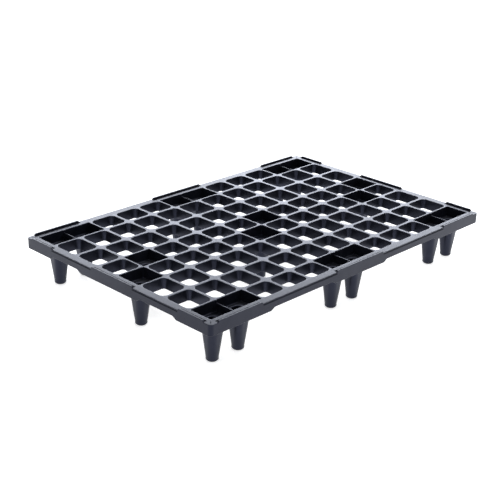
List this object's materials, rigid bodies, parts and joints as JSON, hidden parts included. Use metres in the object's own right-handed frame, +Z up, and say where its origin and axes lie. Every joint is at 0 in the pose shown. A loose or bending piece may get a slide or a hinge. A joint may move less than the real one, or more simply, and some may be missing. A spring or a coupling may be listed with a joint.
{
  "type": "nestable pallet",
  "caption": "Nestable open-deck transport pallet in black moulded plastic, with hollow tapered legs in pairs, a stepped skirt and raised edge lips.",
  "frame": {"origin": "on the floor under the centre of the pallet", "axes": "+X along the long side, +Z up"},
  "size_m": [1.2, 0.8, 0.153],
  "materials": {
    "body": "satin"
  },
  "bodies": {
    "root": {"deck_field_back": "body", "deck_field_front": "body", "deck_panel_back_left": "body", "deck_panel_back_right": "body", "deck_panel_front_left": "body", "deck_panel_front_right": "body", "deck_panel_lower_end": "body", "deck_panel_lower_left": "body", "deck_panel_lower_right": "body", "deck_panel_upper_end": "body", "deck_panel_upper_left": "body", "deck_panel_upper_right": "body", "edge_lip_back_1": "body", "edge_lip_back_2": "body", "edge_lip_back_3": "body", "edge_lip_front_1": "body", "edge_lip_front_2": "body", "edge_lip_front_3": "body", "edge_lip_left_1": "body", "edge_lip_left_2": "body", "edge_lip_left_3": "body", "edge_lip_right_1": "body", "edge_lip_right_2": "body", "edge_lip_right_3": "body", "leg_back_1": "body", "leg_back_11": "body", "leg_back_12": "body", "leg_back_2": "body", "leg_back_6": "body", "leg_back_7": "body", "leg_front_1": "body", "leg_front_11": "body", "leg_front_12": "body", "leg_front_2": "body", "leg_front_6": "body", "leg_front_7": "body", "leg_lower_1": "body", "leg_lower_11": "body", "leg_lower_6": "body", "leg_upper_12": "body", "leg_upper_2": "body", "leg_upper_7": "body", "rim_corner_back_left": "body", "rim_corner_back_right": "body", "rim_corner_front_left": "body", "rim_corner_front_right": "body", "rim_rail_back": "body", "rim_rail_front": "body", "rim_rail_left": "body", "rim_rail_right": "body"}
  },
  "joints": []
}
